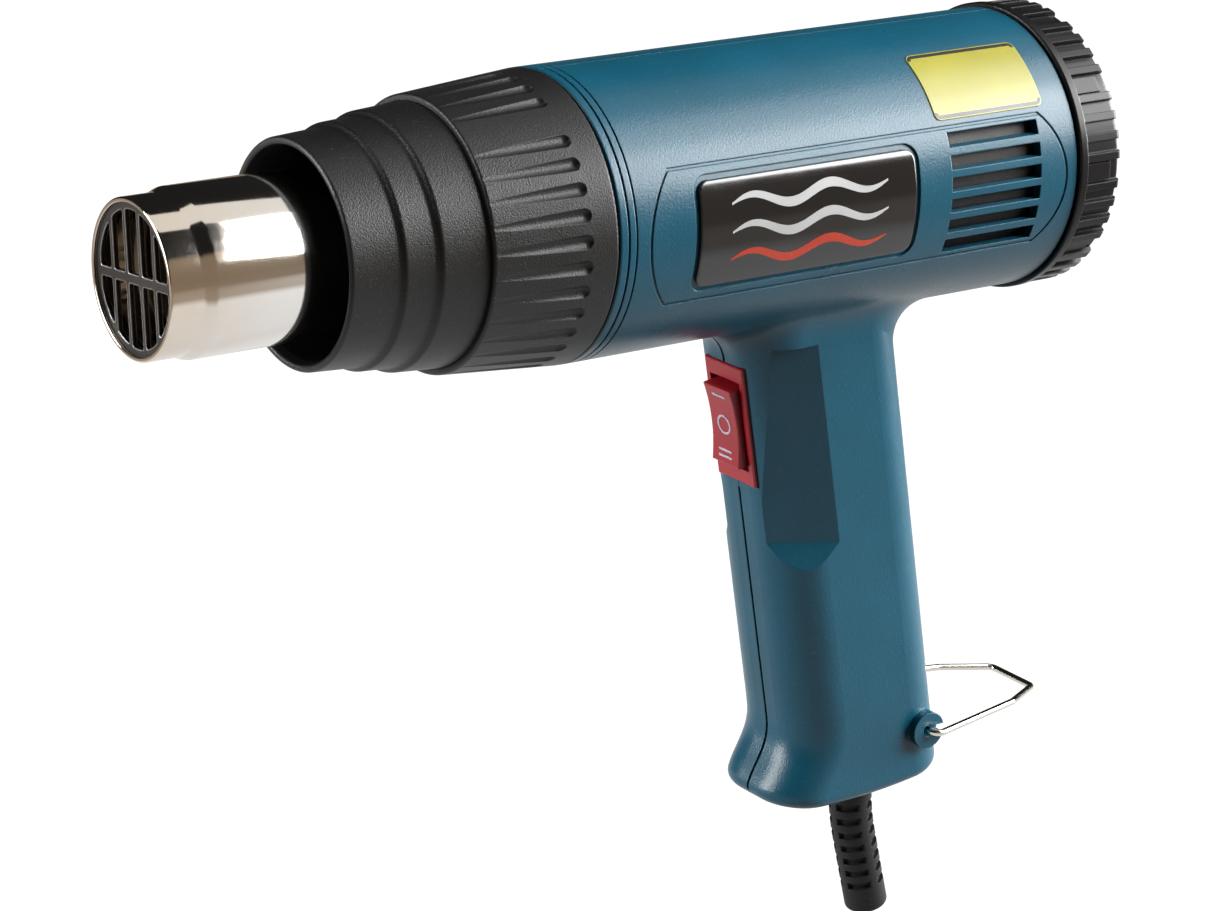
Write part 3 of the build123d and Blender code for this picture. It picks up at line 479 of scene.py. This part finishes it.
def make_world():
    """A dim room: warm towards the horizon in front and on the right, dark above and on the left."""
    world = bpy.data.worlds.new("Studio room")
    world.use_nodes = True
    tree = world.node_tree
    coords = add(tree, "TexCoord")
    way = add(tree, "SeparateXYZ")
    sight = add(tree, "LightPath")
    wire_up(tree, (coords.outputs["Generated"], way.inputs[0]))
    low = spread(tree, way.outputs["Z"], 0.58, 0.50)
    front = spread(tree, way.outputs["Y"], 0.2, -0.3)
    right = spread(tree, way.outputs["X"], -0.75, -0.35)
    warm = maths(tree, "MULTIPLY", maths(tree, "MULTIPLY", low, front), right)
    room = mix_colour(tree, warm, (0.015, 0.015, 0.015), (0.27, 0.21, 0.15))
    lit = mix_colour(tree, sight.outputs["Is Diffuse Ray"], room, (0.03, 0.03, 0.03))
    seen = mix_colour(tree, sight.outputs["Is Camera Ray"], lit, (1.0, 1.0, 1.0))
    wire_up(tree, (seen, tree.nodes["Background"].inputs["Color"]))
    bpy.context.scene.world = world
    bpy.context.scene.view_settings.view_transform = "Standard"


def make_camera(lens):
    """The camera at the viewing angle, with a slight roll."""
    data = bpy.data.cameras.new("camera")
    data.lens = lens
    data.sensor_width = 36.0
    data.clip_start = 0.05
    camera = bpy.data.objects.new("camera", data)
    back = Vector(CAMERA_BACK).normalized()
    right = Vector((0.0, 0.0, 1.0)).cross(back).normalized()
    up = back.cross(right)
    roll = math.radians(CAMERA_ROLL)
    right, up = right * math.cos(roll) + up * math.sin(roll), up * math.cos(roll) - right * math.sin(roll)
    turn = Matrix((right, up, back)).transposed()
    camera.matrix_world = Matrix.Translation(CAMERA_PLACE) @ turn.to_4x4()
    bpy.context.scene.collection.objects.link(camera)
    bpy.context.scene.camera = camera


# ---- Pieces ----
def new_piece(name, verts, faces, material, body, replaced=()):
    """A smooth-shaded mesh piece that rides on a body and may stand for CAD nodes."""
    mesh = bpy.data.meshes.new(name)
    mesh.from_pydata([tuple(v) for v in verts], [], faces)
    build = bmesh.new()
    build.from_mesh(mesh)
    bmesh.ops.recalc_face_normals(build, faces=build.faces)
    build.to_mesh(mesh)
    build.free()
    mesh.materials.append(material)
    for face in mesh.polygons:
        face.use_smooth = True
    piece = bpy.data.objects.new(name, mesh)
    bpy.context.scene.collection.objects.link(piece)
    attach(piece, body)
    if replaced:
        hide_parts(*replaced)
    return piece


def rounded_outline(corners):
    """Points of a closed outline from (x, r, rounding) corners, each corner turned by an arc."""
    outline = []
    count = len(corners)
    for i, (x, r, rounding) in enumerate(corners):
        here = Vector((x, r))
        before = Vector(corners[i - 1][:2]) - here
        after = Vector(corners[(i + 1) % count][:2]) - here
        half = before.angle(after) / 2
        if rounding <= 0.0:
            outline.append(here)
            continue
        reach = min(rounding / math.tan(half), 0.49 * before.length, 0.49 * after.length)
        start, end = here + before.normalized() * reach, here + after.normalized() * reach
        for j in range(ARC_STEPS + 1):
            t = j / ARC_STEPS
            outline.append(start * (1 - t) ** 2 + here * (2 * t * (1 - t)) + end * t ** 2)
    return outline


def lathe(outline):
    """Vertices and faces of a closed (x, r) outline turned about X."""
    verts, faces = [], []
    count = len(outline)
    for i in range(TURN_STEPS):
        a = 2 * math.pi * i / TURN_STEPS
        verts += [(p.x, -p.y * math.sin(a), p.y * math.cos(a)) for p in outline]
    for i in range(TURN_STEPS):
        for j in range(count):
            k, n = (j + 1) % count, (i + 1) % TURN_STEPS
            faces.append((i * count + j, i * count + k, n * count + k, n * count + j))
    return verts, faces


def rounded_corners(half_x, half_y, radius):
    """Points of a rounded rectangle about the origin, anticlockwise."""
    points = []
    for k in range(4):
        mid_x = (half_x - radius) * (1, -1, -1, 1)[k]
        mid_y = (half_y - radius) * (1, 1, -1, -1)[k]
        for j in range(ARC_STEPS + 1):
            a = math.radians(90.0 * (k + j / ARC_STEPS))
            points.append((mid_x + radius * math.cos(a), mid_y + radius * math.sin(a)))
    return points


def on_barrel(x, around, radius, lift):
    """The point at x that lies a distance around the barrel from lift degrees above level, on -Y."""
    a = math.radians(lift) + around / radius
    return Vector((x, -radius * math.cos(a), radius * math.sin(a)))


def wave_strip(middle, row):
    """A wavy band with pointed ends along the barrel's side, row up from its middle."""
    verts, faces = [], []
    for i in range(WAVE_STEPS + 1):
        t = i / WAVE_STEPS
        x = middle + WAVE_REACH * (2 * t - 1)
        centre = row + WAVE_SWING * math.sin(4 * math.pi * t)
        half = WAVE_HALF_WIDTH * math.sqrt(math.sin(math.pi * min(max(t, 0.02), 0.98)))
        verts += [on_barrel(x, centre + edge, BADGE_R, 0.0) for edge in (-half, half)]
        if i:
            faces.append((2 * i - 2, 2 * i, 2 * i + 1, 2 * i - 1))
    return verts, faces


class HEATGUN_OT_shells(HeatGunStep):
    """Finish the casing's shells in fine-grained plastic"""
    bl_idname = "heatgun.shells"
    bl_label = "Shells"

    def build(self, cfg):
        base, depth = tuple(cfg.shell.shell), cfg.shell.grain_depth * 0.7
        plastic = moulded_plastic("Casing plastic", base, 0.30, depth, specular=0.36)
        finish_node("housing_left", plastic)
        finish_node("housing_right", plastic)


class HEATGUN_OT_guard(HeatGunStep):
    """Finish the heat guard and its grip collar"""
    bl_idname = "heatgun.guard"
    bl_label = "Guard"

    def build(self, cfg):
        base, depth = tuple(cfg.shell.guard), cfg.shell.grain_depth * 1.1
        # The guard's edges get a stronger painted highlight along its steps and ribs.
        plastic = moulded_plastic("Guard plastic", base, 0.42, depth, painted_edge_lift=3.0, grain_size=0.34 * MM,
                                  specular=0.40)
        finish_node("guard_cone", plastic)
        finish_node("grip_collar", plastic)


class HEATGUN_OT_nozzle(HeatGunStep):
    """Finish the nozzle tube, its grille and the heater inside"""
    bl_idname = "heatgun.nozzle"
    bl_label = "Nozzle"

    def build(self, cfg):
        chrome = chrome_plate("Nozzle chrome", tuple(cfg.metal.chrome), tuple(cfg.metal.straw), 0.03)
        _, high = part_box("nozzle_tube")
        corners = [
            (0.0, MOUTH_R - 1.15 * MM, 0.3 * MM), (0.0, MOUTH_R, 1.3 * MM), (STEP_FRONT, MOUTH_R, 2.6 * MM),
            (STEP_REAR, high.z, 1.8 * MM), (high.x, high.z, 0.0), (high.x, high.z - TUBE_WALL, 0.0),
            (STEP_REAR, high.z - TUBE_WALL, 1.0 * MM), (STEP_FRONT, MOUTH_R - TUBE_WALL, 1.0 * MM),
            (1.2 * MM, MOUTH_R - TUBE_WALL, 0.4 * MM),
        ]
        verts, faces = lathe(rounded_outline(corners))
        new_piece("nozzle_tube_plated", verts, faces, chrome, "housing", ("nozzle_tube",))
        # rim is the grey of the painted highlight round the grille's openings.
        finish_node("nozzle_grille", plain_metal("Grille steel", tuple(cfg.metal.grille), 0.42, rim=0.75,
                                                 rim_width=0.45 * MM))
        mica = moulded_plastic("Mica", (0.15, 0.11, 0.07), 0.55, 0.01 * MM, edge_radius=0.2 * MM)
        for node in ("mica_tube", "heater_core"):
            finish_node(node, mica)
        finish_node("heating_coil", plain_metal("Resistance wire", (0.32, 0.30, 0.28), 0.5))


class HEATGUN_OT_badges(HeatGunStep):
    """Finish the domed badges and lay three heat waves on them"""
    bl_idname = "heatgun.badges"
    bl_label = "Badges"

    def build(self, cfg):
        gloss = glossy_plastic("Badge gloss", tuple(cfg.trim.badge), 0.07, coat=0.5)
        finish_node("badge_left", gloss)
        finish_node("badge_right", gloss)
        white = glossy_plastic("White ink", (0.42, 0.42, 0.42), 0.2)
        orange = glossy_plastic("Orange ink", (0.42, 0.035, 0.012), 0.2)
        low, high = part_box("badge_left")
        middle = (low.x + high.x) / 2
        for side, name in ((-1, "left"), (1, "right")):
            for k in range(WAVES):
                verts, faces = wave_strip(middle, (k - 1) * WAVE_PITCH)
                verts = [Vector((v.x, v.y * -side, v.z)) for v in verts]
                ink = orange if k == 0 else white
                new_piece(f"heat_wave_{name}_{k}", verts, faces, ink, "housing")


class HEATGUN_OT_label(HeatGunStep):
    """Finish the blank label and lay a black border on it; the border's short ends sink under the film"""
    bl_idname = "heatgun.label"
    bl_label = "Label"

    def build(self, cfg):
        finish_node("caution_label", glossy_plastic("Label film", tuple(cfg.trim.label), 0.34))
        low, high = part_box("caution_label")
        middle, half = (low.x + high.x) / 2, (high.x - low.x) / 2
        rings = [rounded_corners(half - 0.2 * MM, LABEL_HALF - 0.2 * MM, 1.5 * MM),
                 rounded_corners(half - 1.1 * MM, LABEL_HALF - 1.1 * MM, 0.4 * MM)]
        verts = [on_barrel(middle + x, y, LABEL_R, LABEL_LIFT) for ring in rings for x, y in ring]
        count = len(rings[0])
        faces = [(i, (i + 1) % count, count + (i + 1) % count, count + i) for i in range(count)]
        ink = glossy_plastic("Border ink", (0.004, 0.004, 0.004), 0.34)
        new_piece("label_border", verts, faces, ink, "housing")


class HEATGUN_OT_air_cap(HeatGunStep):
    """Finish the knurled end cap"""
    bl_idname = "heatgun.air_cap"
    bl_label = "End cap"

    def build(self, cfg):
        plastic = glossy_plastic("Cap plastic", tuple(cfg.shell.cap), 0.27, specular=0.2)
        finish_node("air_control_cap", plastic)


class HEATGUN_OT_switch(HeatGunStep):
    """Finish the rocker switch and its marks"""
    bl_idname = "heatgun.switch"
    bl_label = "Switch"

    def build(self, cfg):
        red = glossy_plastic("Switch red", tuple(cfg.trim.switch), 0.30, edge_radius=0.3 * MM)
        finish_node("switch_frame", red)
        finish_node("switch_rocker", red)
        finish_node("rocker_marks", glossy_plastic("Switch marks", tuple(cfg.trim.marks), 0.4))


class HEATGUN_OT_bail(HeatGunStep):
    """Finish the wire bail"""
    bl_idname = "heatgun.bail"
    bl_label = "Bail"

    def build(self, cfg):
        wire = tuple(cfg.metal.wire)
        finish_node("hanging_bail", chrome_plate("Bail plating", wire, wire, 0.03))


class HEATGUN_OT_cord_sleeve(HeatGunStep):
    """Finish the slotted cord sleeve"""
    bl_idname = "heatgun.cord_sleeve"
    bl_label = "Cord sleeve"

    def build(self, cfg):
        # The sleeve's edges get a stronger painted highlight.
        finish_node("strain_relief", moulded_plastic("Sleeve rubber", tuple(cfg.trim.sleeve), 0.55,
                                                     0.012 * MM, painted_edge_lift=2.5))


class HEATGUN_OT_inner_parts(HeatGunStep):
    """Finish what shows through the vents and what is inside"""
    bl_idname = "heatgun.inner_parts"
    bl_label = "Inner parts"

    def build(self, cfg):
        black = moulded_plastic("Inner plastic", (0.012, 0.012, 0.013), 0.5, 0.01 * MM)
        steel = plain_metal("Plain steel", (0.50, 0.50, 0.49), 0.35)
        screw = plain_metal("Screw steel", (0.10, 0.10, 0.105), 0.38)
        brass = plain_metal("Brass", (0.62, 0.42, 0.16), 0.3)
        copper = plain_metal("Copper", (0.70, 0.30, 0.16), 0.3)
        iron = plain_metal("Varnished iron", (0.16, 0.11, 0.08), 0.5)
        board = glossy_plastic("Board lacquer", (0.02, 0.16, 0.05), 0.3)
        film = glossy_plastic("Capacitor film", (0.04, 0.06, 0.28), 0.25)
        jacket = moulded_plastic("Wire jacket", (0.16, 0.07, 0.03), 0.5, 0.005 * MM)
        finishes = {
            black: ("shutter_sleeve", "air_funnel", "motor_bracket", "motor_end_cap", "fan_impeller",
                    "cord_clamp", "board_diodes"),
            steel: ("motor_can", "motor_shaft", "nozzle_flange", "heater_terminals", "thermal_fuse"),
            screw: ("housing_screws", "flange_screws", "bracket_screws", "shutter_screws", "clamp_screws"),
            brass: ("bearing_front", "bearing_rear", "brush_holders", "switch_terminals"),
            copper: ("commutator",),
            iron: ("motor_magnets", "armature"),
            board: ("control_board",),
            film: ("board_capacitor",),
            jacket: ("lead_wires",),
        }
        for material, nodes in finishes.items():
            for node in nodes:
                finish_node(node, material)


STEPS = (HEATGUN_OT_stage, HEATGUN_OT_shells, HEATGUN_OT_guard, HEATGUN_OT_nozzle, HEATGUN_OT_badges,
         HEATGUN_OT_label, HEATGUN_OT_air_cap, HEATGUN_OT_switch, HEATGUN_OT_bail, HEATGUN_OT_cord_sleeve,
         HEATGUN_OT_inner_parts)


class HEATGUN_PT_panel(bpy.types.Panel):
    """Sidebar panel that lists the heat gun's steps and settings"""
    bl_idname = "HEATGUN_PT_panel"
    bl_label = "Heat Gun"
    bl_space_type = "VIEW_3D"
    bl_region_type = "UI"
    bl_category = "Heat Gun"

    def draw(self, context):
        cfg = context.scene.heat_gun
        for step in STEPS:
            self.layout.operator(step.bl_idname)
        for part in (cfg.shell, cfg.metal, cfg.trim, cfg.stage):
            box = self.layout.box()
            for name in part.__annotations__:
                box.prop(part, name)


CLASSES = (ShellSettings, MetalSettings, TrimSettings, StageSettings, HeatGunSettings, *STEPS,
           HEATGUN_PT_panel)


def register():
    for cls in CLASSES:
        bpy.utils.register_class(cls)
    bpy.types.Scene.heat_gun = PointerProperty(type=HeatGunSettings)


def unregister():
    del bpy.types.Scene.heat_gun
    for cls in reversed(CLASSES):
        bpy.utils.unregister_class(cls)


def main():
    register()
    for step in STEPS:
        group, name = step.bl_idname.split(".")
        getattr(getattr(bpy.ops, group), name)()


if __name__ == "__main__":
    main()
